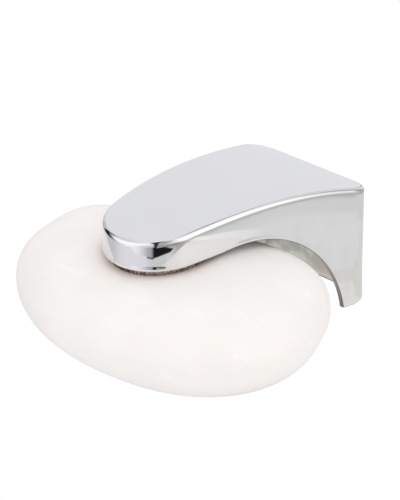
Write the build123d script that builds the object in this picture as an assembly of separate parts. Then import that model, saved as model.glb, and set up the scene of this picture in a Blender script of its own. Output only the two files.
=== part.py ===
from build123d import *
import math
import os

# Magnetic soap holder, in millimetres, +Z up.
# A hollow chromed zinc arm is stuck to the wall by a foam pad. A pot magnet in the underside
# of its nose holds a toothed steel cap, and the cap is pressed into a bar of soap.
# The origin is the centre of the pad's wall side: the wall is the plane Y = 0, on the +Y side,
# and the arm points along -Y.

# Arm, outside
arm_length = 85.0
arm_width = 50.0
arm_height = 44.0
wall = 1.8
draft_angle = 1.0
back_corner_radius = 8.0
nose_radius = 17.0
side_start_angle = 10.0
side_start_handle = 21.0
side_end_angle = 12.0
side_end_handle = 22.0
crown_radius = 172.0
crown_top_reach = 46.5
top_edge_bevel = 1.4

# Arm, underside
nose_depth = 10.0
nose_tilt = 5.2
arch_start_gap = 11.7
leg_width = 12.5

# Foam pad on the back
pad_thickness = 1.0
pad_width = 32.0
pad_height = 30.0
pad_corner_radius = 3.0
pad_rise = 18.0

# Pot magnet: steel cup and ring magnet
cup_radius = 11.0
cup_height = 5.0
cup_wall = 1.0
cup_edge_bevel = 0.5
magnet_proud = 0.3
magnet_height = 3.4
magnet_bore_radius = 1.8

# Countersunk screw and its boss
screw_head_radius = 2.9
screw_head_height = 1.7
screw_recess = 0.3
screw_shank_radius = 1.4
screw_length = 8.0
screw_tip_height = 1.0
recess_radius = 1.2
recess_depth = 0.9
boss_radius = 4.5
pilot_spare_depth = 0.4

# Cover that closes the nose, and the ribs above it
cover_thickness = 1.6
cover_rear_gap = 15.0
cover_rear_wall = 1.4
rib_thickness = 1.4
rib_inner_radius = 12.2
rib_angles = (0.0, 50.0, 130.0, 180.0)

# Toothed steel cap
cap_radius = 15.0
cap_sheet = 0.5
cap_bend = 0.7
cap_bend_angle = 45.0
cap_flare = 0.5
cap_height = 4.0
tooth_count = 72
tooth_depth = 3.0
tooth_tip_share = 0.1
tooth_root_share = 0.6

# Bar of soap
soap_length = 106.6
soap_width = 65.7
soap_height = 36.0
soap_turn = 9.6
soap_side_shift = 0.2
soap_back_shift = -4.3
soap_plan_power = 2.7
soap_top_power = 2.5
soap_bottom_power = 2.0
soap_egg_share = 0.086
soap_taper_share = 0.106
soap_lean_share = 0.17
soap_bend_share = 0.357
soap_end_share = 0.99
soap_layers = 17
soap_plan_points = 48

# Clearances
fit_gap = 0.1
tooth_gap = 0.2
overrun = 5.0

# Places worked out from the sizes
nose_centre = arm_length - nose_radius
tilt = math.radians(nose_tilt)
crown_centre_height = arm_height - crown_radius


def reach(distance):
    """Y of a place that lies a distance in front of the arm's back face."""
    return -(pad_thickness + distance)


def level(height):
    """Z of a place that lies a height above the bottoms of the arm's legs."""
    return height - pad_rise


def crown_height(distance):
    """Height of the crowned top at a distance in front of the back face."""
    return crown_centre_height + math.sqrt(crown_radius**2 - (distance - crown_top_reach) ** 2)


nose_height = crown_height(nose_centre) - nose_depth
nose_plane = Plane(
    origin=(0, reach(nose_centre), level(nose_height)),
    x_dir=(1, 0, 0),
    z_dir=(0, -math.sin(tilt), math.cos(tilt)),
)
cap_top = -magnet_proud
soap_centre = cap_top - cap_sheet - soap_height / 2


def side_curve(side, half_width, nose):
    """One flank seen from above: a Bezier curve from the back corner to the nose's round."""
    start_angle = math.radians(side_start_angle)
    end_angle = math.radians(side_end_angle)
    start = Vector(half_width, back_corner_radius)
    end = Vector(nose * math.cos(end_angle), nose_centre + nose * math.sin(end_angle))
    out = start + Vector(-math.sin(start_angle), math.cos(start_angle)) * side_start_handle
    back = end - Vector(-math.sin(end_angle), math.cos(end_angle)) * side_end_handle
    return [(side * point.X, reach(point.Y)) for point in (start, out, back, end)]


def plan_face(inset, spread, height):
    """The arm's outline seen from above, drawn in by inset and let out by the draft."""
    nose = nose_radius - inset + spread
    corner = back_corner_radius - inset + spread
    corner_x = arm_width / 2 - back_corner_radius
    corner_y = reach(back_corner_radius)
    right = side_curve(1, corner_x + corner, nose)
    left = side_curve(-1, corner_x + corner, nose)
    edges = Curve() + [
        Line((-corner_x, corner_y + corner), (corner_x, corner_y + corner)),
        CenterArc((corner_x, corner_y), corner, 90, -90),
        Bezier(*right),
        ThreePointArc(right[-1], (0, reach(nose_centre + nose)), left[-1]),
        Bezier(*reversed(left)),
        CenterArc((-corner_x, corner_y), corner, 180, -90),
    ]
    return Pos(0, 0, level(height)) * make_face(edges)


def drafted_body(inset, drop, low):
    """The arm's drafted outline, cut upright at the back and crowned on top, inset and dropped."""
    high = arm_height + overrun
    slope = math.tan(math.radians(draft_angle))
    faces = [plan_face(inset, slope * (arm_height - height), height) for height in (low, high)]
    crown = Cylinder(crown_radius - drop, arm_width + 2 * overrun, rotation=(0, 90, 0))
    under = Pos(0, reach(crown_top_reach), level(crown_centre_height)) * crown
    size = 2 * (arm_length + overrun)
    front = Pos(0, reach(inset), 0) * Box(size, size, size, align=(Align.CENTER, Align.MAX, Align.CENTER))
    return loft(faces, ruled=True) & under & front


def arch_cutter():
    """Everything under the arm: below the tilted nose and the round arch up to the legs."""
    start = Vector(nose_centre - arch_start_gap, nose_height + arch_start_gap * math.tan(tilt))
    foot = Vector(leg_width, 0)
    down = Vector(-math.sin(tilt), -math.cos(tilt))
    span = foot - start
    radius = span.length**2 / (2 * span.dot(down))
    centre = start + down * radius
    middle = centre + ((start - centre) + (foot - centre)).normalized() * radius
    end = arm_length + overrun
    far = Vector(end, start.Y - (end - start.X) * math.tan(tilt))
    points = [(reach(point.X), level(point.Y)) for point in (foot, middle, start, far)]
    base = level(-overrun)
    profile = Curve() + [
        ThreePointArc(points[0], points[1], points[2]),
        Line(points[2], points[3]),
        Line(points[3], (points[3][0], base)),
        Line((points[3][0], base), (points[0][0], base)),
        Line((points[0][0], base), points[0]),
    ]
    return extrude(Plane.YZ * make_face(profile), amount=arm_width, both=True)


def in_nose(shape, height=0, turn=0):
    """A shape moved from the origin to the magnet's axis, a height above the nose's underside."""
    return nose_plane * Pos(0, 0, height) * Rot(0, 0, turn) * shape


def nose_cylinder(radius, low, high):
    """Round bar on the magnet's axis between two heights above the nose's underside."""
    bar = Cylinder(radius, high - low, align=(Align.CENTER, Align.CENTER, Align.MIN))
    return in_nose(bar, low)


def arm_shell():
    """Chromed casting: thin crowned top, flanks, nose and back, with ribs and a screw boss."""
    outer = drafted_body(0, 0, 0)
    top_edges = outer.faces().sort_by(Axis.Z)[-1].edges()
    outer = chamfer(top_edges, top_edge_bevel)
    hollow = drafted_body(wall, wall, -overrun)
    rib_length = nose_radius - rib_inner_radius
    rib = Pos(rib_inner_radius, 0) * Box(
        rib_length, rib_thickness, nose_depth, align=(Align.MIN, Align.CENTER, Align.MIN)
    )
    ribs = [in_nose(rib, cover_thickness, -angle) for angle in rib_angles]
    cup_back = cup_height - magnet_proud
    boss = nose_cylinder(boss_radius, cup_back, nose_depth)
    pilot_end = screw_length + screw_recess - magnet_proud + pilot_spare_depth
    pilot = nose_cylinder(screw_shank_radius + fit_gap, 0, pilot_end)
    inside = Part() + [piece & drafted_body(wall / 2, wall / 2, 0) for piece in (*ribs, boss)]
    return outer - hollow + inside - arch_cutter() - pilot


def nose_cover():
    """Moulded plate that closes the nose round the magnet, with an upright wall at its rear."""
    space = drafted_body(wall + fit_gap, wall + fit_gap, 0)
    rear = reach(nose_centre - cover_rear_gap)
    size = 2 * arm_width
    slab = in_nose(Box(size, size, cover_thickness, align=(Align.CENTER, Align.CENTER, Align.MIN)))
    block = in_nose(Box(size, size, size, align=(Align.CENTER, Align.CENTER, Align.MIN)))
    front = Pos(0, rear, 0) * Box(size, size, size, align=(Align.CENTER, Align.MAX, Align.CENTER))
    strip = Pos(0, rear, 0) * Box(
        size, cover_rear_wall, size, align=(Align.CENTER, Align.MAX, Align.CENTER)
    )
    plate = space & slab & front
    rear_wall = space & block & strip
    window = nose_cylinder(cup_radius + fit_gap, -overrun, cover_thickness + overrun)
    return plate + rear_wall - window


def magnet_cup():
    """Steel cup that closes the magnet's field round its rim, open downwards."""
    cup_back = cup_height - magnet_proud
    cup = nose_cylinder(cup_radius, -magnet_proud, cup_back)
    cup = chamfer(cup.edges().sort_by(Axis.Z)[-1], cup_edge_bevel)
    inside = nose_cylinder(cup_radius - cup_wall, -magnet_proud - overrun, cup_back - cup_wall)
    hole = nose_cylinder(screw_shank_radius + fit_gap, 0, cup_back + overrun)
    return cup - inside - hole


def countersink(radius, spare):
    """Cone and shank of the screw's head seat, let out by a spare gap."""
    seat = screw_recess - magnet_proud
    head = Cone(
        radius + spare,
        screw_shank_radius + spare,
        screw_head_height,
        align=(Align.CENTER, Align.CENTER, Align.MIN),
    )
    return in_nose(head, seat)


def magnet_ring():
    """Ring magnet in the cup, countersunk for the screw."""
    top = cup_height - magnet_proud - cup_wall
    ring = nose_cylinder(cup_radius - cup_wall - fit_gap, top - magnet_height, top)
    bore = nose_cylinder(magnet_bore_radius, -magnet_proud - overrun, top + overrun)
    mouth = nose_cylinder(
        screw_head_radius + fit_gap, -magnet_proud - overrun, screw_recess - magnet_proud
    )
    return ring - bore - mouth - countersink(screw_head_radius, fit_gap)


def magnet_screw():
    """Countersunk self-tapping screw that holds the pot magnet up to the boss."""
    seat = screw_recess - magnet_proud
    head = countersink(screw_head_radius, 0)
    shank_end = seat + screw_length - screw_tip_height
    shank = nose_cylinder(screw_shank_radius, seat + screw_head_height, shank_end)
    tip = Cone(
        screw_shank_radius,
        screw_shank_radius / 2,
        screw_tip_height,
        align=(Align.CENTER, Align.CENTER, Align.MIN),
    )
    socket = Box(
        recess_radius * 2, recess_radius / 2, recess_depth, align=(Align.CENTER, Align.CENTER, Align.MIN)
    )
    cross = [in_nose(socket, seat, turn) for turn in (0, 90)]
    return head + shank + in_nose(tip, shank_end) - cross


def adhesive_pad():
    """Double-sided foam pad between the arm's back and the wall."""
    outline = RectangleRounded(pad_width, pad_height, pad_corner_radius)
    return extrude(Plane.XZ * outline, amount=pad_thickness)


def cap_profile():
    """Half section of the cap: flat disc, bevelled bend and a skirt that flares outwards."""
    bend = cap_radius - cap_bend
    rim = cap_radius + cap_flare
    thinning = cap_sheet * math.tan(math.radians(cap_bend_angle / 2))
    points = [
        (0, 0),
        (bend, 0),
        (cap_radius, -cap_bend),
        (rim, -cap_height),
        (rim - cap_sheet, -cap_height),
        (cap_radius - cap_sheet, -cap_bend - thinning),
        (bend - thinning, -cap_sheet),
        (0, -cap_sheet),
    ]
    return Polyline(*points, close=True)


def soap_cap():
    """Pressed steel cap whose skirt is cut into a ring of pointed teeth."""
    cup = revolve(Plane.XZ * make_face(cap_profile()), Axis.Z)
    pitch = 2 * math.pi * (cap_radius + cap_flare) / tooth_count
    half_root_gap = pitch * (1 - tooth_root_share) / 2
    half_tip_gap = pitch * (1 - tooth_tip_share) / 2
    half_low_gap = half_tip_gap + (half_tip_gap - half_root_gap) * overrun / tooth_depth
    corners = [
        (half_root_gap, tooth_depth),
        (-half_root_gap, tooth_depth),
        (-half_low_gap, -overrun),
        (half_low_gap, -overrun),
    ]
    cut = extrude(Plane.YZ * Polygon(*corners, align=None), amount=overrun)
    start = Pos(cap_radius + cap_flare - overrun / 2, 0, -cap_height)
    cuts = [Rot(0, 0, 360 * step / tooth_count) * start * cut for step in range(tooth_count)]
    return in_nose(cup - cuts, cap_top)


def soap_ring(height_share, side_power):
    """Points round a slice of the bar at a share of its half height.

    The slice is a rounded oblong, wider at one end, leant, and bent round its back."""
    grow = (1 - abs(height_share) ** side_power) ** (1 / side_power)
    points = []
    for step in range(soap_plan_points):
        angle = 2 * math.pi * step / soap_plan_points
        along = math.copysign(abs(math.cos(angle)) ** (2 / soap_plan_power), math.cos(angle))
        across = math.copysign(abs(math.sin(angle)) ** (2 / soap_plan_power), math.sin(angle))
        lengthwise = along * (1 - soap_taper_share * across) * soap_length / 2
        lean = soap_lean_share * across * soap_width / 2
        sideways = (across * (1 + soap_egg_share * along) + soap_bend_share * along**2) * soap_width / 2
        points.append(
            Vector(grow * (lengthwise - lean), grow * sideways, height_share * soap_height / 2)
        )
    return points


def soap_block():
    """Domed bar of soap as one closed skin of small flat facets between its slices."""
    rings = []
    for layer in range(soap_layers):
        way_up = 2 * layer / (soap_layers - 1) - 1
        power = soap_top_power if way_up > 0 else soap_bottom_power
        angle = way_up * math.asin(soap_end_share ** (power / 2))
        share = math.copysign(abs(math.sin(angle)) ** (2 / power), angle)
        rings.append(soap_ring(share, power))
    outlines = [rings[0], rings[-1]]
    for low, high in zip(rings, rings[1:]):
        for step in range(soap_plan_points):
            before = step - 1
            outlines.append([low[before], low[step], high[step], high[before]])
    return Solid(Shell([Face(Wire.make_polygon(outline)) for outline in outlines]))


def soap_bar():
    """Bar of soap, dented by the cap: a ring for the teeth and a flat for the disc."""
    bar = Pos(soap_side_shift, soap_back_shift) * Rot(0, 0, soap_turn) * soap_block()
    bar = in_nose(bar, soap_centre)
    rim = cap_radius + cap_flare + tooth_gap
    dent = nose_cylinder(rim, cap_top - cap_sheet - tooth_gap, overrun)
    groove = nose_cylinder(rim, cap_top - cap_height - tooth_gap, overrun) - nose_cylinder(
        cap_radius - cap_bend - tooth_gap, cap_top - cap_height - tooth_gap, overrun
    )
    return bar - dent - groove


parts = {
    "arm_shell": arm_shell(),
    "nose_cover": nose_cover(),
    "magnet_cup": magnet_cup(),
    "magnet_ring": magnet_ring(),
    "magnet_screw": magnet_screw(),
    "adhesive_pad": adhesive_pad(),
    "soap_cap": soap_cap(),
    "soap_bar": soap_bar(),
}

os.makedirs("parts", exist_ok=True)
for name, shape in parts.items():
    shape.label = name
    export_step(shape, os.path.join("parts", name + ".step"))
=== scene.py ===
import math

import bmesh
import bpy
import numpy as np
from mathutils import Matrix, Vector


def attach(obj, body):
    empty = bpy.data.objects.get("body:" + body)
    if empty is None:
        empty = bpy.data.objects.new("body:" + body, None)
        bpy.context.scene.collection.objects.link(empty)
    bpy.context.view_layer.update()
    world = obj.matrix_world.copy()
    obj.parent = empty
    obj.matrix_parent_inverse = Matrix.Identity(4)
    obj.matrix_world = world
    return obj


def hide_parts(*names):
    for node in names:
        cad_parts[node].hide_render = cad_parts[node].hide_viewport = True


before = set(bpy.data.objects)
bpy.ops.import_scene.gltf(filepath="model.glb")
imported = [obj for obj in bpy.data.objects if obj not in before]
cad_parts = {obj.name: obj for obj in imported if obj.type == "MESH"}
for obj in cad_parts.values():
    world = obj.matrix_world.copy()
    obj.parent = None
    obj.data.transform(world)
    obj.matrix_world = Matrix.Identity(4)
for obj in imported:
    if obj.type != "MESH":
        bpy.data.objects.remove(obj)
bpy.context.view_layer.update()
mm = 0.001

# The arm is one hollow zinc casting with bright chrome plating: a crowned top, flanks that taper
# to a round nose, and an arch that leaves two legs and a back wall. Lengths are millimetres, t is
# the distance in front of the back face, and z the height over the legs' bottoms.
arm_length = 85.0
arm_width = 50.0
arm_height = 44.0
wall = 1.8
draft = math.tan(math.radians(1.0))
corner_radius = 8.0
nose_radius = 17.0
nose_centre = arm_length - nose_radius
flank_start_angle = math.radians(10.0)
flank_start_handle = 21.0
flank_end_angle = math.radians(12.0)
flank_end_handle = 22.0
crown_radius = 172.0
crown_top = 46.5
nose_depth = 10.0
nose_tilt = math.radians(5.2)
arch_start_gap = 11.7
leg_width = 12.5
edge_round = 1.4
inner_edge_round = 0.8
lip_round = 0.3
swell = 0.05
swell_height = 0.75
swell_spread = 0.3

# The frame's origin is the middle of the foam pad's wall side. The arm stands off it by the pad's
# thickness, and the legs' bottoms lie pad_rise under it.
pad_thickness = 1.0
pad_rise = 18.0

# How many points each stretch of the outline and of the wall's profile gets.
back_points = 8
corner_points = 44
leg_points = 7
arch_points = 70
nose_side_points = 36
nose_points = 64
lip_points = 6
edge_points = 15
crown_rows = 16
boss_points = 48


def crown_height(t, drop=0.0):
    """Height of the crowned top: a circle about a cross axis under its highest place."""
    return arm_height - crown_radius + np.sqrt((crown_radius - drop) ** 2 - (t - crown_top) ** 2)


nose_height = float(crown_height(nose_centre)) - nose_depth
arch_start = nose_centre - arch_start_gap
arch_start_height = nose_height + arch_start_gap * math.tan(nose_tilt)
span = np.array([leg_width - arch_start, -arch_start_height])
down = np.array([-math.sin(nose_tilt), -math.cos(nose_tilt)])
arch_radius = float(span @ span / (2 * span @ down))
arch_centre = np.array([arch_start, arch_start_height]) + down * arch_radius


def underside(t):
    """Height of the arm's lower edge: zero under the legs, the arch's circle, the tilted nose."""
    arch = arch_centre[1] + np.sqrt(np.maximum(arch_radius**2 - (t - arch_centre[0]) ** 2, 0.0))
    nose = nose_height - (t - nose_centre) * math.tan(nose_tilt)
    return np.where(t < leg_width, 0.0, np.where(t < arch_start, arch, nose))


def bezier(points, s):
    """Cubic Bezier curve: the four points weighted by the Bernstein polynomials of s."""
    s = s[:, None]
    a, b, c, d = (np.array(p) for p in points)
    return a * (1 - s) ** 3 + 3 * b * s * (1 - s) ** 2 + 3 * c * s**2 * (1 - s) + d * s**3


def outline(grow):
    """The arm's outline seen from above, let out by grow: half back line, corner circle, flank
    curve and nose circle, then the same mirrored. Gives points (x, t) and outward normals."""
    corner = corner_radius + grow
    nose = nose_radius + grow
    corner_x = arm_width / 2 - corner_radius
    back_x = np.linspace(0, corner_x, back_points)[:-1]
    back = np.stack([back_x, np.full(len(back_x), corner_radius - corner)], 1)
    turn = np.linspace(-math.pi / 2, flank_start_angle, corner_points)
    arc = np.stack([corner_x + corner * np.cos(turn), corner_radius + corner * np.sin(turn)], 1)
    start = arc[-1]
    start_way = np.array([-math.sin(flank_start_angle), math.cos(flank_start_angle)])
    end_way = np.array([-math.sin(flank_end_angle), math.cos(flank_end_angle)])
    end = np.array([nose * math.cos(flank_end_angle), nose_centre + nose * math.sin(flank_end_angle)])
    handles = (start, start + flank_start_handle * start_way, end - flank_end_handle * end_way, end)
    fine_steps = np.linspace(0, 1, 801)
    curve = bezier(handles, fine_steps)
    swing = np.linspace(math.asin((arch_centre[0] - leg_width) / arch_radius), 0, arch_points)
    wanted = np.concatenate([
        np.linspace(start[1], leg_width, leg_points)[1:-1],
        arch_centre[0] - arch_radius * np.sin(swing),
        np.linspace(arch_centre[0], end[1], nose_side_points)[1:-1],
    ])
    flank = bezier(handles, np.interp(wanted, curve[:, 1], fine_steps))
    sweep = np.linspace(flank_end_angle, math.pi / 2, nose_points)
    tip = np.stack([nose * np.cos(sweep), nose_centre + nose * np.sin(sweep)], 1)
    half = np.concatenate([back, arc, flank, tip])
    tangent = np.gradient(half, axis=0)
    tangent[0] = (1, 0)
    tangent[-1] = (-1, 0)
    normal = np.stack([tangent[:, 1], -tangent[:, 0]], 1)
    normal[:len(back)] = (0, -1)
    normal[len(back):len(back) + corner_points] = np.stack([np.cos(turn), np.sin(turn)], 1)
    normal[-nose_points:] = np.stack([np.cos(sweep), np.sin(sweep)], 1)
    normal /= np.linalg.norm(normal, axis=1)[:, None]
    flip = np.array([-1, 1])
    return (
        np.concatenate([half, half[-2:0:-1] * flip]),
        np.concatenate([normal, normal[-2:0:-1] * flip]),
    )


def at_height(inset, z):
    """The drafted wall's outline at heights z, whose last axis runs round it, cut upright at the
    back: each point moves out along the outline's growth by the draft times the depth."""
    centre, normal = outline(-inset)
    wider, _ = outline(1.0 - inset)
    points = centre + (wider - centre) * (draft * (arm_height - z))[..., None]
    points[..., 1] = np.maximum(points[..., 1], inset)
    return points, normal


def settle(inset, height_of):
    """Heights at which the drafted wall meets a surface given by height_of, found by putting each
    answer back in six times."""
    z = np.full(len(outline(0.0)[0]), arm_height / 2)
    for _ in range(6):
        points, normal = at_height(inset, z)
        z = height_of(points[:, 1])
    return z, points, normal


def skin(inset, drop, top_round):
    """Rows of points, each the whole outline: quarter circle of the lower lip, drafted wall,
    quarter circle of the top edge that ends square to the crown's slope, then the crowned top
    in to the middle line. The outside swells a little, by a bell curve, just over the lip."""
    step = 0.01
    low, _, normal = settle(inset, underside)
    high, points, _ = settle(inset, lambda t: crown_height(t, drop))
    slope = (crown_height(points[:, 1] + step, drop) - high) / step * -normal[:, 1]
    centre_height = high + slope * top_round - top_round * np.sqrt(1 + slope**2)

    lip = np.linspace(math.pi / 2, 0, lip_points)[:, None]
    lip_height = low + lip_round * (1 - np.sin(lip))
    lip_inward = lip_round * (1 - np.cos(lip)) * (1 if inset == 0 else -1)

    share = np.array([0.015, 0.04, 0.08, 0.14, 0.22, 0.34, 0.5, 0.68, 0.86, 0.985])[:, None]
    wall_start = low + lip_round
    wall_height = wall_start + (centre_height - wall_start) * share

    turn = np.linspace(0, 1, edge_points)[:, None] * (math.pi / 2 - np.arctan(slope))
    edge_height = centre_height + top_round * np.sin(turn)
    edge_inward = top_round * (1 - np.cos(turn))

    height = np.concatenate([lip_height, wall_height, edge_height])
    lip_inward = np.broadcast_to(lip_inward, lip_height.shape)
    inward = np.concatenate([lip_inward, np.zeros(wall_height.shape), edge_inward])
    if inset == 0:
        inward = inward - swell * np.exp(-(((height - low - swell_height) / swell_spread) ** 2))
    sides = at_height(inset, height)[0] - normal * inward[..., None]
    sides = np.concatenate([sides, height[..., None]], -1)

    edge = sides[-1, :, :2]
    middle = np.column_stack([np.zeros(len(edge)), np.clip(edge[:, 1], leg_width, nose_centre)])
    share = np.concatenate([[0.006, 0.03], np.linspace(0.08, 1, crown_rows)])[:, None, None]
    top = edge + (middle - edge) * share
    top = np.concatenate([top, crown_height(top[..., 1], drop)[..., None]], -1)
    return np.concatenate([sides, top])


def to_frame(points):
    """From x, t, z in millimetres to the shared frame in metres."""
    depth = pad_thickness + points[..., 1]
    return np.stack([points[..., 0], -depth, points[..., 2] - pad_rise], -1) * mm


def under_nose(points):
    """From the nose's own axes, x across, y to the wall and z along the magnet, to the frame."""
    x, y, z = points[..., 0], points[..., 1], points[..., 2]
    back = y * math.cos(nose_tilt) - z * math.sin(nose_tilt)
    up = y * math.sin(nose_tilt) + z * math.cos(nose_tilt)
    return to_frame(np.stack([x, nose_centre - back, nose_height + up], -1))


def grid_faces(rows, columns, first=0):
    """Corner numbers of the quads of a grid whose rows are closed into rings."""
    number = first + np.arange(rows * columns).reshape(rows, columns)
    after = np.roll(number, -1, axis=1)
    return np.stack([number[:-1], after[:-1], after[1:], number[1:]], -1).reshape(-1, 4)


def new_piece(name, grids, body, sharp=32.0, marks=None):
    """One mesh object from grids of points in metres, welded, turned outwards and smooth but for
    edges sharper than so many degrees. Marks are values at the points, kept as attributes."""
    weld_gap = 2e-7
    speck = 1e-8
    points = np.concatenate([grid.reshape(-1, 3) for grid in grids])
    starts = np.cumsum([0] + [grid.shape[0] * grid.shape[1] for grid in grids])
    faces = np.concatenate([grid_faces(*grid.shape[:2], first) for grid, first in zip(grids, starts)])
    mesh = bpy.data.meshes.new(name)
    mesh.from_pydata(points.tolist(), [], faces.tolist())
    for mark, values in (marks or {}).items():
        mesh.attributes.new(mark, "FLOAT", "POINT").data.foreach_set("value", values)
    build = bmesh.new()
    build.from_mesh(mesh)
    bmesh.ops.remove_doubles(build, verts=build.verts, dist=weld_gap)
    bmesh.ops.dissolve_degenerate(build, edges=build.edges, dist=speck)
    bmesh.ops.recalc_face_normals(build, faces=build.faces)
    build.to_mesh(mesh)
    build.free()
    mesh.shade_smooth()
    mesh.set_sharp_from_angle(angle=math.radians(sharp))
    piece = bpy.data.objects.new(name, mesh)
    bpy.context.scene.collection.objects.link(piece)
    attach(piece, body)
    return piece


outside = skin(0.0, 0.0, edge_round)
inside = skin(wall, wall, inner_edge_round)
shell = np.concatenate([inside[::-1], outside])

# Four ribs and a bored boss are cast on the inside of the nose. The ribs carry the cover, and the
# boss takes the magnet's screw. Their heights are over the plane of the nose's underside.
bore_radius = 1.5
boss_radius = 4.5
boss_low = 4.7
boss_high = 9.2
boss_bevel = 0.2
boss_profile = np.array([
    [bore_radius, boss_low],
    [boss_radius - boss_bevel, boss_low],
    [boss_radius, boss_low + boss_bevel],
    [boss_radius, boss_high],
    [bore_radius, boss_high],
    [bore_radius, boss_low],
])
boss_turn = np.linspace(0, 2 * math.pi, boss_points + 1)[:-1]
boss = np.stack([
    boss_profile[:, :1] * np.cos(boss_turn),
    boss_profile[:, :1] * np.sin(boss_turn),
    np.broadcast_to(boss_profile[:, 1:], (len(boss_profile), len(boss_turn))),
], -1)

rib_half = 0.7
rib_start = 12.2
rib_end = 15.7
rib_low = 1.6
rib_high = 8.4
rib_turns = -np.radians([0.0, 50.0, 130.0, 180.0])
rib_size = np.array([0.0, 1.0, 1.0, 0.0])[:, None]
rib_middle = (rib_start + rib_end) / 2
rib_x = rib_middle + (np.array([rib_start, rib_end, rib_end, rib_start]) - rib_middle) * rib_size
rib_y = np.array([-rib_half, -rib_half, rib_half, rib_half]) * rib_size
rib_z = np.broadcast_to(np.array([rib_low, rib_low, rib_high, rib_high])[:, None], rib_x.shape)
ribs = [
    np.stack([
        rib_x * math.cos(turn) - rib_y * math.sin(turn),
        rib_x * math.sin(turn) + rib_y * math.cos(turn),
        rib_z,
    ], -1)
    for turn in rib_turns
]
castings = [under_nose(grid) for grid in [boss] + ribs]


def over_casting(shell_values, others):
    """One value for each point of the shell, and the same value over the boss and the ribs."""
    count = sum(grid.shape[0] * grid.shape[1] for grid in castings)
    return np.concatenate([shell_values.ravel(), np.full(count, others)])


shell_inside = np.ones(shell.shape[:2])
shell_inside[len(inside):] = 0.0
cut_past_arch = 3.0
cut_columns = outside[0, :, 1] < arch_start + cut_past_arch
shell_cut = np.zeros(shell.shape[:2])
shell_cut[len(inside) - lip_points:len(inside) + lip_points - 1, cut_columns] = 1.0
marks = {"inside": over_casting(shell_inside, 1.0), "cut_edge": over_casting(shell_cut, 0.0)}
grids = [to_frame(shell)] + castings
arm = new_piece("arm_shell_dressed", grids, "holder", marks=marks)
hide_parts("arm_shell")


class Wire:
    """One output of a material's nodes, on which shader maths is written as sums and products."""

    def __init__(self, tree, socket=None):
        self.tree = tree
        self.socket = socket

    def node(self, kind, inputs=None, output=0, **settings):
        """One output of a new node of a kind, with its settings and its sockets' values or wires."""
        made = self.tree.nodes.new(kind)
        for name, value in settings.items():
            setattr(made, name, value)
        for name, value in (inputs or {}).items():
            if isinstance(value, Wire):
                self.tree.links.new(value.socket, made.inputs[name])
            else:
                made.inputs[name].default_value = value
        return Wire(self.tree, made.outputs[output])

    def maths(self, operation, first, second):
        """One step of arithmetic on two numbers or wires."""
        return self.node("ShaderNodeMath", {0: first, 1: second}, operation=operation)

    def __add__(self, other):
        return self.maths("ADD", self, other)

    def __radd__(self, other):
        return self.maths("ADD", other, self)

    def __sub__(self, other):
        return self.maths("SUBTRACT", self, other)

    def __rsub__(self, other):
        return self.maths("SUBTRACT", other, self)

    def __mul__(self, other):
        return self.maths("MULTIPLY", self, other)

    def __rmul__(self, other):
        return self.maths("MULTIPLY", other, self)

    def ramp(self, low, high):
        """Nought below low, one above high, and a smooth rise between them."""
        return self.node(
            "ShaderNodeMapRange",
            {"Value": self, "From Min": low, "From Max": high},
            interpolation_type="SMOOTHSTEP",
        )


def new_finish(name, build):
    """A material whose surface shader takes the values or wires that build gives by socket name."""
    material = bpy.data.materials.new(name)
    material.use_nodes = True
    tree = material.node_tree
    shader = tree.nodes["Principled BSDF"]
    for socket, value in build(Wire(tree)).items():
        if isinstance(value, Wire):
            tree.links.new(value.socket, shader.inputs[socket])
        else:
            shader.inputs[socket].default_value = value
    return material


def mottle(wire, scale, detail=3.0):
    """Cloudy value from 0 to 1 in the piece's own space, with scale clouds to the metre."""
    place = wire.node("ShaderNodeTexCoord", output="Object")
    inputs = {"Vector": place, "Scale": scale, "Detail": detail}
    return wire.node("ShaderNodeTexNoise", inputs, output="Fac")


def blend_colour(wire, factor, low, high):
    """Colour between low and high by a factor, where each is three numbers or a wire."""
    low, high = (end if isinstance(end, Wire) else (*end, 1.0) for end in (low, high))
    return wire.node("ShaderNodeMix", {0: factor, 6: low, 7: high}, output=2, data_type="RGBA")


def relief(wire, height, strength, distance):
    """The normal of a surface that a height raises by so much of a distance."""
    inputs = {"Height": height, "Strength": strength, "Distance": distance}
    return wire.node("ShaderNodeBump", inputs)


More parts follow.
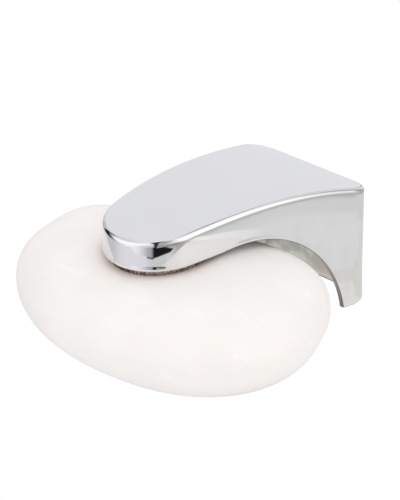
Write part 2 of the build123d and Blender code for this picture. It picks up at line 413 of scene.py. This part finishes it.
def chrome(wire):
    """Bright plating with a faint haze, and dried water on the foot. Inside and on the cut edges
    the casting is dull, with cloudy patches, warmer low down, and painted shade at its near side."""
    inside = wire.node("ShaderNodeAttribute", output="Fac", attribute_name="inside")
    cut = wire.node("ShaderNodeAttribute", output="Fac", attribute_name="cut_edge")
    dull = wire.maths("MAXIMUM", inside, cut)
    place = wire.node("ShaderNodeTexCoord", output="Object")
    height = wire.node("ShaderNodeSeparateXYZ", {0: place}, output=2)
    across = wire.node("ShaderNodeSeparateXYZ", {0: place}, output=0)
    fine = mottle(wire, 420.0)

    bright = blend_colour(wire, mottle(wire, 60.0), (0.845, 0.845, 0.85), (0.885, 0.885, 0.89))
    foot = 1.0 - height.ramp(-10.5 * mm, -6.5 * mm)
    water = mottle(wire, 330.0, 4.0).ramp(0.42, 0.62) * foot
    bright = blend_colour(wire, water * 0.55, bright, (0.83, 0.815, 0.785))
    haze = mottle(wire, 140.0, 6.0).ramp(0.45, 0.68) * (1.0 - height.ramp(10.0 * mm, 20.0 * mm))
    bright = blend_colour(wire, haze * 0.7, bright, (0.805, 0.803, 0.797))

    patch = mottle(wire, 200.0, 5.0).ramp(0.36, 0.62)
    low = 1.0 - height.ramp(-17.5 * mm, -12.0 * mm)
    # Painted shade: the inside is darkened on its near side, above its lowest part.
    painted_near_shade = across.ramp(0.5 * mm, 3.5 * mm) * height.ramp(-17.5 * mm, -15.2 * mm)
    cast = blend_colour(wire, patch, (0.41, 0.422, 0.385), (0.575, 0.585, 0.54))
    cast = blend_colour(wire, low * 0.8, cast, (0.56, 0.50, 0.44))
    cast = blend_colour(wire, painted_near_shade * 0.8, cast, (0.41, 0.385, 0.34))
    cast = blend_colour(wire, cut, cast, (0.20, 0.185, 0.165))
    return {
        "Base Color": blend_colour(wire, dull, bright, cast),
        "Metallic": 1.0,
        "Roughness": 0.012 + fine * 0.012 + dull * 0.35 + water * 0.06,
        "Normal": relief(wire, mottle(wire, 110.0, 1.0), 0.015, 0.4 * mm),
    }


arm.data.materials.append(new_finish("chrome_plating", chrome))


# The bar of soap is moulded and pressed on to the cap's teeth. Its plan is a rounded oblong, a
# little wider at one end, and its top is dented by the cap, whose teeth stand in a ring groove.
# Its sizes are in the nose's own axes, with their origin where the magnet's axis leaves the nose.
soap_half_length = 53.3
soap_half_width = 32.85
soap_half_height = 18.0
soap_plan_power = 2.7
soap_top_power = 2.5
soap_bottom_power = 2.0
soap_egg = 0.086
soap_taper = -0.106
soap_lean = -0.17
soap_bend = 0.357
soap_turn = math.radians(9.6)
soap_middle = np.array([0.2, -4.3, -18.8])
soap_spokes = 240
top_rows = 24
upper_rows = 26
lower_rows = 40
dent_depth = 1.0
groove_inner = 14.1
groove_outer = 15.7
groove_depth = 4.5
groove_lip_depth = 3.0
groove_round = 0.2
press_depth = 0.6
press_reach = 2.5
press_step = 0.2


def soap_ring(angle, grow):
    """Plan of the bar at a size share grow: a superellipse, wider at one end, leant and bent."""
    along = np.sign(np.cos(angle)) * np.abs(np.cos(angle)) ** (2 / soap_plan_power)
    across = np.sign(np.sin(angle)) * np.abs(np.sin(angle)) ** (2 / soap_plan_power)
    tapered = along * (1 + soap_taper * across) * soap_half_length
    x = grow * (tapered + soap_lean * across * soap_half_width)
    y = grow * (across * (1 + soap_egg * along) + soap_bend * along**2) * soap_half_width
    turned = (
        x * math.cos(soap_turn) - y * math.sin(soap_turn) + soap_middle[0],
        x * math.sin(soap_turn) + y * math.cos(soap_turn) + soap_middle[1],
    )
    return np.stack(np.broadcast_arrays(*turned), -1)


def soap_slice(angle, grow, power, way):
    """Ring of a size share at its own height, which a superellipse from the side gives."""
    plan = soap_ring(angle, grow)
    height = soap_middle[2] + way * soap_half_height * (1 - grow**power) ** (1 / power)
    return np.concatenate([plan, np.broadcast_to(height[..., None], plan.shape[:2] + (1,))], -1)


def groove_share(spoke, middle):
    """Share of each spoke from the bar's middle at which it crosses the groove's outer circle,
    the positive root of a quadratic."""
    length = (spoke**2).sum(-1)
    along_spoke = spoke @ middle
    inner = middle @ middle - groove_outer**2
    return (-along_spoke + np.sqrt(along_spoke**2 - length * inner)) / length


angle = np.linspace(0, 2 * math.pi, soap_spokes + 1)[:-1][None, :]
middle = soap_middle[:2]
spoke = soap_ring(angle, 1.0)[0] - middle
first_share = groove_share(spoke, middle)
groove_edge = middle + spoke * first_share[:, None]
dent_profile = np.array([
    [0.0, dent_depth],
    [4.0, dent_depth],
    [8.0, dent_depth],
    [12.0, dent_depth],
    [groove_inner - 0.3, dent_depth],
    [groove_inner, dent_depth + 0.1],
    [groove_inner + 0.05, groove_depth - groove_round],
    [groove_inner + groove_round, groove_depth],
    [groove_outer - groove_round, groove_depth],
    [groove_outer - 0.05, groove_depth - groove_round],
    [groove_outer, groove_lip_depth],
])
dent_radius, dent_drop = dent_profile.T[..., None, None]
dent = np.concatenate([
    groove_edge * (dent_radius / groove_outer),
    np.broadcast_to(-dent_drop, (len(dent_profile), soap_spokes, 1)),
], -1)

outer_share = 0.74
grow = first_share + (outer_share - first_share) * np.linspace(0, 1, top_rows)[:, None]
top = soap_slice(angle, grow, soap_top_power, 1)
from_groove = np.hypot(top[..., 0], top[..., 1]) - groove_outer
top[0, :, 2] -= press_step
top[..., 2] -= press_depth * np.exp(-((from_groove / press_reach) ** 2))
start = math.acos(outer_share ** (soap_top_power / 2))
grow = np.cos(np.linspace(start, 0, upper_rows)[1:, None]) ** (2 / soap_top_power)
upper = soap_slice(angle, grow, soap_top_power, 1)
grow = np.cos(np.linspace(0, math.pi / 2, lower_rows)[1:, None]).clip(0, 1)
grow = grow ** (2 / soap_bottom_power)
lower = soap_slice(angle, grow, soap_bottom_power, -1)
bar = np.concatenate([dent, top, upper, lower])
soap = new_piece("soap_dressed", [under_nose(bar)], "soap", 60.0)
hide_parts("soap_bar")


def from_magnet(wire):
    """Distance from the magnet's axis, and height over the nose's underside."""
    place = wire.node("ShaderNodeTexCoord", output="Object")
    axis_foot = (0.0, -(pad_thickness + nose_centre) * mm, (nose_height - pad_rise) * mm)
    apart = wire.node("ShaderNodeVectorMath", {0: place, 1: axis_foot}, operation="SUBTRACT")
    flat = wire.node("ShaderNodeVectorMath", {0: apart, 1: (1.0, 1.0, 0.0)}, operation="MULTIPLY")
    gap = wire.node("ShaderNodeVectorMath", {0: flat}, output="Value", operation="LENGTH")
    return gap, wire.node("ShaderNodeSeparateXYZ", {0: apart}, output=2)


def soap_finish(wire):
    """Waxy cream, faintly cloudy and scratched along its length, with a painted warm shadow round the
    cap.
    """
    place = wire.node("ShaderNodeTexCoord", output="Object")
    cloud = mottle(wire, 60.0)
    gap, over = from_magnet(wire)
    # Painted shadow: a warm brown soft shadow round the cap, on the soap's top.
    ring = 1.0 - (gap + mottle(wire, 160.0) * (4.0 * mm)).ramp(16.5 * mm, 25.5 * mm)
    ring = ring * over.ramp(-10.0 * mm, -6.0 * mm)
    drawn_out = wire.node("ShaderNodeVectorMath", {0: place, 1: (0.12, 1.0, 1.2)}, operation="MULTIPLY")
    streaks = {"Vector": drawn_out, "Scale": 300.0, "Detail": 5.0, "Roughness": 0.65}
    streak = wire.node("ShaderNodeTexNoise", streaks, output="Fac").ramp(0.55, 0.70)
    scratched = streak * mottle(wire, 45.0).ramp(0.42, 0.55) * 0.4
    bar = blend_colour(wire, cloud.ramp(0.30, 0.70), (0.920, 0.882, 0.857), (0.940, 0.905, 0.884))
    bar = blend_colour(wire, scratched, bar, (1.0, 0.99, 0.98))
    return {
        "Base Color": blend_colour(wire, ring * 0.75, bar, (0.86, 0.74, 0.70)),
        "Roughness": 0.36 + cloud * 0.08 + streak * 0.12,
        "Subsurface Weight": 0.12,
        "Subsurface Radius": (4.0 * mm, 3.0 * mm, 2.2 * mm),
        "Subsurface Scale": 1.0,
        "Normal": relief(wire, mottle(wire, 350.0, 2.0) + streak * 0.6, 0.06, 0.4 * mm),
    }


soap.data.materials.append(new_finish("soap", soap_finish))


# The cap is pressed from tinned steel sheet, a shallow cup whose rim is cut into pointed teeth.
# It is pushed into the bar, and the magnet holds its flat top. The teeth's pale brown is a
# painted reflection, made light against their shade, and dark specks there are painted shade.
def pressed_steel(wire):
    cloud = mottle(wire, 250.0)
    gap, _ = from_magnet(wire)
    rim = (gap + cloud * (1.0 * mm)).ramp(14.0 * mm, 15.2 * mm)
    # Dark specks of painted shade at the rim, standing for the gaps between the teeth.
    painted_gap_shade = mottle(wire, 900.0, 2.0).ramp(0.5, 0.62) * rim
    top = blend_colour(wire, cloud, (0.60, 0.58, 0.55), (0.74, 0.72, 0.69))
    # The teeth's pale brown, lighter than the top, is a painted warm reflection made light against
    # their shade.
    teeth = blend_colour(wire, cloud, (0.66, 0.54, 0.45), (0.90, 0.78, 0.68))
    sheet = blend_colour(wire, rim, top, teeth)
    return {
        "Base Color": blend_colour(wire, painted_gap_shade * 0.75, sheet, (0.16, 0.085, 0.055)),
        "Metallic": 0.7,
        "Roughness": 0.32 + cloud * 0.15,
    }


def finish_node(node, name, build):
    """Gives a CAD node's own material slots one finish."""
    finish = new_finish(name, build)
    for slot in bpy.data.objects[node].material_slots:
        slot.material = finish


finish_node("soap_cap", "cap_steel", pressed_steel)


# The cover is a moulded grey plastic plate. It closes the nose from below, and its middle opening
# fits round the pot magnet.
def moulded_plastic(wire):
    grain = mottle(wire, 1200.0)
    return {
        "Base Color": blend_colour(wire, grain, (0.36, 0.37, 0.38), (0.42, 0.43, 0.44)),
        "Roughness": 0.42 + grain * 0.1,
        "Normal": relief(wire, grain, 0.08, 0.2 * mm),
    }


finish_node("nose_cover", "cover_plastic", moulded_plastic)


# The pot magnet is a turned steel cup, a sintered ring magnet with nickel plating, and a
# countersunk screw that holds both up to the arm's boss.
def bare_metal(scale, dark, light, roughness, spread):
    """What to build for a metal whose colour and gloss vary together with a fine mottle."""
    def build(wire):
        fine = mottle(wire, scale)
        return {
            "Base Color": blend_colour(wire, fine, dark, light),
            "Metallic": 1.0,
            "Roughness": roughness + fine * spread,
        }
    return build


turned_steel = bare_metal(700.0, (0.50, 0.50, 0.50), (0.60, 0.60, 0.59), 0.26, 0.12)
nickel = bare_metal(500.0, (0.58, 0.56, 0.52), (0.66, 0.64, 0.60), 0.2, 0.1)
screw_steel = bare_metal(900.0, (0.55, 0.55, 0.56), (0.68, 0.68, 0.69), 0.22, 0.12)
finish_node("magnet_cup", "cup_steel", turned_steel)
finish_node("magnet_ring", "magnet_nickel", nickel)
finish_node("magnet_screw", "screw_steel", screw_steel)


# The pad is die-cut from closed-cell foam with glue on both sides. One side sticks to the arm's
# back and the other to the wall.
def foam(wire):
    place = wire.node("ShaderNodeTexCoord", output="Object")
    cells = wire.node("ShaderNodeTexVoronoi", {"Vector": place, "Scale": 2200.0}, output="Distance")
    return {
        "Base Color": blend_colour(wire, mottle(wire, 300.0), (0.72, 0.72, 0.70), (0.80, 0.80, 0.78)),
        "Roughness": 0.85,
        "Normal": relief(wire, cells, 0.3, 0.2 * mm),
    }


finish_node("adhesive_pad", "pad_foam", foam)


# The room is white. Its plain white floor runs far back, and lies low enough for the bar to be
# pulled off over it.
floor_height = -74.0 * mm
floor_half = 6.0
floor_grey = 0.30
floor_glow = 0.60
glow_when_seen = 0.14


def plain_material(name, build):
    """A material with its own surface shader, which build gives."""
    material = bpy.data.materials.new(name)
    material.use_nodes = True
    tree = material.node_tree
    tree.nodes.remove(tree.nodes["Principled BSDF"])
    tree.links.new(build(Wire(tree)).socket, tree.nodes["Material Output"].inputs["Surface"])
    return material


def seen_directly(wire):
    """One for rays from the camera, from gloss and through glass, and nought for other rays."""
    camera_ray = wire.node("ShaderNodeLightPath")
    outputs = camera_ray.socket.node.outputs
    glossy = Wire(wire.tree, outputs["Is Glossy Ray"])
    through = Wire(wire.tree, outputs["Is Transmission Ray"])
    return wire.maths("MAXIMUM", wire.maths("MAXIMUM", camera_ray, glossy), through)


def stage_piece(name, points, faces, material):
    """A piece of the studio, which isn't part of the object."""
    mesh = bpy.data.meshes.new(name)
    mesh.from_pydata(np.asarray(points).tolist(), [], np.asarray(faces).tolist())
    mesh.materials.append(material)
    piece = bpy.data.objects.new(name, mesh)
    bpy.context.scene.collection.objects.link(piece)
    return piece


def white_floor(wire):
    """Matt grey that takes the shadow, and a glow that also lights the object from below; where the
    floor is seen, more glow brings it up to white.
    """
    matt = wire.node("ShaderNodeBsdfDiffuse", {"Color": (floor_grey, floor_grey, floor_grey, 1.0)})
    level = seen_directly(wire) * glow_when_seen + floor_glow
    glow = wire.node("ShaderNodeEmission", {"Color": (1, 1, 1, 1), "Strength": level})
    return wire.node("ShaderNodeAddShader", {0: matt, 1: glow})


floor_corners = np.array([[-1, -1], [1, -1], [1, 1], [-1, 1]]) * floor_half
stage_piece(
    "floor",
    np.column_stack([floor_corners, np.full(4, floor_height)]),
    [[0, 1, 2, 3]],
    plain_material("white_floor", white_floor),
)


# Bright metal is photographed in a light tent: a cloth dome with two softboxes, a grey panel
# behind, a black card and a black flag, and a grey sheet under the soap. Each is painted on the
# cloth as a level of light, where one is white, and only reflections see any of it.
sheet_height = -22.9 * mm
sheet_gap = 0.1 * mm
sheet_slant = 0.17
tent_radius = 0.8
tent_middle = np.array([0.0, -0.06, 0.01])
nose_y = -(pad_thickness + nose_centre)


def ramp(value, low, high):
    """Nought below low, one above high, and a smooth rise between them."""
    share = np.clip((value - low) / (high - low), 0.0, 1.0)
    return share * share * (3 - 2 * share)


def along(value, stops):
    """Straight lines between stops, each a value and the number that it gives."""
    return np.interp(value, *np.array(stops, float).T)


def paint(ground, level, cover):
    """A level of light laid over the ground where the cover is one."""
    return ground + (level - ground) * cover


def pointing(turn, rise):
    """Unit vectors that point a turn and a rise, given in degrees."""
    turn, rise = np.radians(turn), np.radians(rise)
    return np.stack([np.cos(rise) * np.cos(turn), np.cos(rise) * np.sin(turn), np.sin(rise)], -1)


def near_path(turn, rise, path, half_width, soft):
    """One within half_width degrees of a line through the path's directions, and nought beyond
    its soft edge."""
    path = np.array(path, float)
    steps = np.linspace(0, len(path) - 1, 12 * len(path))
    line = pointing(*[np.interp(steps, np.arange(len(path)), path[:, i]) for i in (0, 1)])
    gap = np.degrees(np.arccos(np.clip((pointing(turn, rise) @ line.T).max(-1), -1, 1)))
    return 1 - ramp(gap, half_width - soft, half_width + soft)


def cloth_light(wire):
    """The painted level, or white for rays that have met a matt surface before."""
    light = wire.node("ShaderNodeAttribute", output="Color", attribute_name="light")
    bounced = wire.maths("MINIMUM", wire.node("ShaderNodeLightPath", output="Diffuse Depth"), 1.0)
    light = blend_colour(wire, bounced, light, (1.0, 1.0, 1.0))
    return wire.node("ShaderNodeEmission", {"Color": light, "Strength": 1.0})


def cloth_levels(turn, rise):
    """The dome's cloth and its softboxes by direction: turn is degrees from +X towards the wall,
    and rise degrees up."""
    level = along(turn, [
        (-180, 0.60), (-165, 0.80), (-145, 0.95), (-105, 1.06), (-92, 0.95), (-80, 0.76), (-60, 0.6),
        (-51, 0.36), (-44, 0.41), (-20, 0.43), (-10, 0.58), (2, 0.88), (9, 0.9), (15, 0.6),
        (24, 0.58), (40, 0.71), (60, 0.62), (80, 0.3), (98, 0.8), (180, 0.8),
    ])
    softbox = along(turn, [
        (-56, 0.32), (-40, 0.56), (-20, 0.92), (-5, 1.15), (60, 1.15), (100, 1.08), (118, 0.75),
    ])
    lower_edge = along(turn, [
        (-50, 34), (-20, 22), (0, 10), (10, 10), (30, 20), (40, 16), (50, 27), (60, 35), (80, 48),
        (100, 57), (118, 62),
    ])
    before_wall = (turn >= -60) * (turn < 118)
    level = paint(level, softbox, ramp(rise, lower_edge - 10, lower_edge + 10) * before_wall)
    second_softbox = along(turn, [
        (-180, 0.76), (-165, 0.9), (-150, 1.04), (-135, 1.14), (-100, 1.08), (-90, 0.94), (-80, 0.81),
        (-60, 0.7),
    ])
    level = paint(level, second_softbox, ramp(rise, 6, 40) * (turn < -60))
    behind = along(turn, [(110, 0.8), (118, 0.74), (150, 0.76), (158, 0.84), (180, 0.77)])
    level = paint(level, behind, ramp(turn, 112, 120))
    light_strip = [(150, 40), (152, 48), (156, 58)]
    dark_strip = [(140, 36), (138, 44), (132, 56)]
    level = paint(level, 0.98, near_path(turn, rise, light_strip, 2.5, 2.0))
    level = paint(level, 0.38, near_path(turn, rise, dark_strip, 3.0, 4.0))
    level = paint(level, 0.34, ramp(rise, 69, 76) * (1 - ramp(turn, -70, -40)))
    return paint(level, 0.75, ramp(rise, 72, 84) * ramp(turn, 40, 100))


def dome_levels(turn, rise):
    """The cloth, with the grey panel and its dark borders, the black card and the black flag over
    it. Also gives the panel's cover, for its tint."""
    level = cloth_levels(turn, rise)
    panel_top = along(turn, [
        (121.5, -4), (122.5, 4), (124, 11), (126.3, 18), (130, 25.5), (134, 30.6), (138, 34.2),
        (143, 38), (148, 40.8), (153, 42.3), (160, 42.6), (170, 41.8), (176, 39), (182, 34),
    ])
    side_border = [(120.2, 2), (121.3, 10), (123.2, 17.5), (126.5, 25.5), (130, 31.5)]
    corner_border = [(131, 33), (134.5, 37), (138, 41), (140.5, 43.5)]
    level = paint(level, 0.12, near_path(turn, rise, side_border, 1.6, 0.8))
    level = paint(level, 0.02, near_path(turn, rise, corner_border, 2.6, 1.2))
    panel = ramp(panel_top - rise, -0.4, 0.4) * ramp(turn, 121.2, 122.2)
    level = paint(level, along(turn, [(155, 0.828), (170, 0.70), (180, 0.45)]), panel)
    shine = ramp(panel_top - rise, 9, 14) * ramp(turn, 134, 140) * (1 - ramp(turn, 146, 152))
    level = paint(level, 0.95, shine)
    top_border = [(154.5, 42.9), (162, 43.9), (170, 44.2), (176, 42.5), (182, 38)]
    level = paint(level, 0.2, near_path(turn, rise, top_border, 1.1, 0.8))

    full_turn = np.where(turn < 0, turn + 360, turn)
    card_left = along(rise, [(0, 186), (10, 184.5), (25, 187), (32, 184), (38, 178), (44, 172)])
    card_right = along(rise, [(0, 226), (5, 225), (15, 219), (25, 210), (35, 198), (42, 188)])
    card = ramp(full_turn, card_left - 2.5, card_left + 2.5)
    card = card * (1 - ramp(full_turn, card_right - 16, card_right + 12))
    level = paint(level, 0.012, card * (1 - ramp(rise, 41, 47)))
    flag = [
        (-50, -6), (-53.3, 5), (-56, 15), (-59, 28), (-62, 42), (-65.5, 50), (-71, 59), (-80, 66.5),
        (-97, 71.5), (-125, 75), (-157, 75.5), (-181, 71), (-192, 66), (-200, 61),
    ]
    level = paint(level, 0.03, near_path(turn, rise, flag, 3.2, 1.6))
    return level, panel


def open_sheet(x, y):
    """The sheet away from the nose, by place in millimetres: darker far behind the arm and past a
    round edge there, lighter by steps to the left, and darker again far out on that side."""
    level = np.full(x.shape, 0.765)
    level = paint(level, 0.70, ramp(x, 97, 110))
    level = paint(level, 0.69, ramp(y, 55, 70))
    level = paint(level, 0.40, ramp(y, 86, 95))
    bearing = np.degrees(np.arctan2(y, x))
    edge = along(bearing, [
        (14, 118.5), (18, 117.6), (21, 117), (26, 114.9), (32, 112.9), (50, 107), (57, 102.5),
        (67, 97.7), (78, 93),
    ])
    past_edge = np.hypot(x, y) - edge
    behind_arm = ramp(bearing, 8, 14) * (1 - ramp(bearing, 84, 90))
    beyond = along(bearing, [(14, 0.56), (30, 0.60), (50, 0.47), (78, 0.44)])
    level = paint(level, 0.70, behind_arm * ramp(past_edge, -16, -11))
    level = paint(level, beyond, behind_arm * ramp(past_edge, -0.6, 1.6))
    level = paint(level, 0.735, (1 - ramp(x + sheet_slant * y, 59, 62)) * (y < 60))
    level = paint(level, 0.83, (1 - ramp(x, 48, 54)) * (1 - ramp(y, 2, 8)))
    level = paint(level, 1.1, (1 - ramp(x, 14, 19)) * (1 - ramp(y + x, 26, 68)))
    return paint(level, along(x, [(-260, 0.52), (-60, 0.80)]), 1 - ramp(x, -60, -34))


def round_the_nose(level, x, y, reach, turn):
    """The sheet's front, by reach and turn about the magnet: its near part, its far part, and at
    the right a grey strip and a light card."""
    near = along(turn, [
        (-180, 0.64), (-165, 0.57), (-140, 0.62), (-125, 0.74), (-108, 0.80), (-92, 0.80),
        (-70, 0.76), (-60, 0.66), (-36, 0.64), (-26, 0.72), (-18, 0.60), (-10, 0.47), (0, 0.45),
        (6, 0.6), (11, 0.76),
    ])
    far = along(turn, [
        (-180, 0.65), (-155, 0.5), (-136, 0.57), (-120, 0.75), (-108, 0.93), (-92, 0.96),
        (-80, 0.78), (-70, 0.62), (-60, 0.46), (-44, 0.35), (-40, 0.25), (-12, 0.28), (0, 0.42),
        (12, 0.53),
    ])
    front = (1 - ramp(y, -26, -8)) * (1 - ramp(turn, 10, 20) * (x > 0))
    level = paint(level, near, front)
    level = paint(level, far, front * ramp(reach, 112, 121))
    level = paint(level, 0.51, ramp(x, 110.5, 115) * ramp(turn, 5, 14))
    card_end = along(turn, [
        (14, 117), (18, 118.5), (22, 119), (25, 120.4), (28, 121.4), (31, 122.5), (36, 123.5),
    ])
    card = ramp(turn, 12, 18) * (1 - ramp(turn, 33, 38))
    card = card * ramp(reach, 100, 108) * (1 - ramp(reach - card_end, -0.7, 0.7))
    return paint(level, along(turn, [(18, 0.96), (25, 0.92), (32, 0.86)]), card)


def nose_band(level, reach, turn):
    """The band of the sheet that the nose shows under its middle: a light patch that fades to the
    right, a dark wedge at its end, and a black block beside it."""
    patch = along(turn, [
        (-98, 0.88), (-92, 0.92), (-88, 0.90), (-80, 0.80), (-72.5, 0.65), (-65, 0.47), (-58, 0.40),
    ])
    patch_start = along(turn, [(-99, 111.5), (-94, 108.6), (-88, 107.2), (-80, 106.8), (-68, 107.4)])
    cover = ramp(turn, -99, -96) * (1 - ramp(turn, -57, -55))
    cover = cover * ramp(reach, patch_start, patch_start + 0.8)
    level = paint(level, patch, cover * (1 - ramp(reach, 119, 130) * (turn < -68)))
    wedge_reach = along(turn, [(-68, 107.2), (-57, 106.9)])
    wedge = ramp(turn, -69, -64) * (1 - ramp(turn, -56, -54))
    level = paint(level, 0.15, wedge * (1 - ramp(np.abs(reach - wedge_reach), 0.5, 1.1)))
    block_start = along(turn, [
        (-58, 106.4), (-54.5, 106.7), (-52, 107.5), (-46.6, 108.3), (-39.4, 109.7), (-32, 110.8),
        (-24.7, 111.6), (-18, 114.2),
    ])
    block_end = along(turn, [
        (-50.5, 900), (-49.5, 117.2), (-39.4, 117.2), (-32, 116.6), (-24.7, 115.3), (-18, 114.3),
    ])
    block = ramp(turn, -59.5, -53.5) * (turn < -18)
    block = block * ramp(reach, block_start - 0.4, block_start + 0.4)
    return paint(level, 0.012, block * (1 - ramp(reach, block_end - 0.4, block_end + 0.8)))


def hang(name, points, level, tint):
    """A painted piece of the tent, hidden from all but the rays that a reflection follows."""
    cloth = stage_piece(
        name,
        points.reshape(-1, 3),
        grid_faces(*points.shape[:2]),
        plain_material(name, cloth_light),
    )
    light = np.concatenate([level[..., None] * tint, np.ones(level.shape + (1,))], -1)
    mark = cloth.data.attributes.new("light", "FLOAT_COLOR", "POINT")
    mark.data.foreach_set("color", light.ravel())
    cloth.visible_camera = False
    cloth.visible_diffuse = False
    cloth.visible_shadow = False
    cloth.visible_transmission = False


bearings = np.arange(-180, 180, 0.5)[None, :]
lifts = np.radians(np.concatenate([np.arange(0, 88, 0.5), [88, 90]]))[:, None]
dome = np.stack(np.broadcast_arrays(
    tent_middle[0] + tent_radius * np.cos(lifts) * np.cos(np.radians(bearings)),
    tent_middle[1] + tent_radius * np.cos(lifts) * np.sin(np.radians(bearings)),
    sheet_height + sheet_gap + tent_radius * np.sin(lifts),
), -1)
from_middle = dome - tent_middle
level_reach = np.hypot(from_middle[..., 0], from_middle[..., 1])
dome_rise = np.degrees(np.arctan2(from_middle[..., 2], level_reach))
dome_level, panel = dome_levels(np.broadcast_to(bearings, dome_rise.shape), dome_rise)
panel_tint = np.array([0.0, 0.005, 0.035])
hang("light_tent", dome, dome_level, 1 + panel[..., None] * panel_tint)

reach = np.concatenate([
    [0], np.arange(40, 90, 2), np.arange(90, 126, 0.4), np.geomspace(126, 860, 60),
])[:, None]
reach, turn = np.broadcast_arrays(reach, bearings)
x = reach * np.cos(np.radians(turn))
y = nose_y + reach * np.sin(np.radians(turn))
sheet = np.stack([x, y, np.full(x.shape, (sheet_height + sheet_gap) / mm)], -1)
sheet_level = round_the_nose(open_sheet(x, y), x, y, reach, turn)
sheet_level = nose_band(sheet_level, reach, turn)
warm = (1 - ramp(x + sheet_slant * y, 60, 61.5)) * (y > -5) * (y < 60) * ramp(x, 15, 19)
pale = (y < 0) * (x > 90) * ramp(sheet_level, 0.8, 0.9)
cool = (y < -90) * (turn < -56)
sheet_tint = (
    1
    + warm[..., None] * np.array([0.0, -0.02, -0.055])
    + pale[..., None] * np.array([0.0, -0.03, -0.05])
    + cool[..., None] * np.array([0.0, 0.0, 0.045])
)
hang("grey_sheet", sheet * mm, sheet_level, sheet_tint)


# The camera stands about 0.63 m off, in front of the arm and to its right, and looks down on it
# through a long lens. Its place, its aim and the lens were fitted to the arm's outline.
camera_aim = Vector((-0.6467, 0.6226, -0.4405))
camera_data = bpy.data.cameras.new("photo_camera")
camera_data.lens = 148.36
camera_data.sensor_width = 36
camera = bpy.data.objects.new("photo_camera", camera_data)
bpy.context.scene.collection.objects.link(camera)
camera.location = (0.40816, -0.44529, 0.28472)
camera.rotation_mode = "QUATERNION"
camera.rotation_quaternion = camera_aim.to_track_quat("-Z", "Y")
bpy.context.scene.camera = camera


# The white room lights matt surfaces evenly, and one large weak lamp, low in front at the right,
# rounds the soap. Metal mirrors the tent in place of the lamp.
world = bpy.data.worlds.new("studio")
bpy.context.scene.world = world
world.use_nodes = True
world.node_tree.nodes["Background"].inputs["Color"].default_value = (1, 1, 1, 1)

lamp_aim = Vector((-0.84, 0.54, -0.10))
lamp_data = bpy.data.lights.new("front_lamp", "AREA")
lamp_data.shape = "RECTANGLE"
lamp_data.size = 0.9
lamp_data.size_y = 0.6
lamp_data.energy = 0.7
lamp = bpy.data.objects.new("front_lamp", lamp_data)
bpy.context.scene.collection.objects.link(lamp)
lamp.location = (0.86, -0.60, 0.10)
lamp.rotation_mode = "QUATERNION"
lamp.rotation_quaternion = lamp_aim.to_track_quat("-Z", "Y")
lamp.visible_camera = False
lamp.visible_glossy = False
bpy.context.scene.view_settings.view_transform = "Standard"
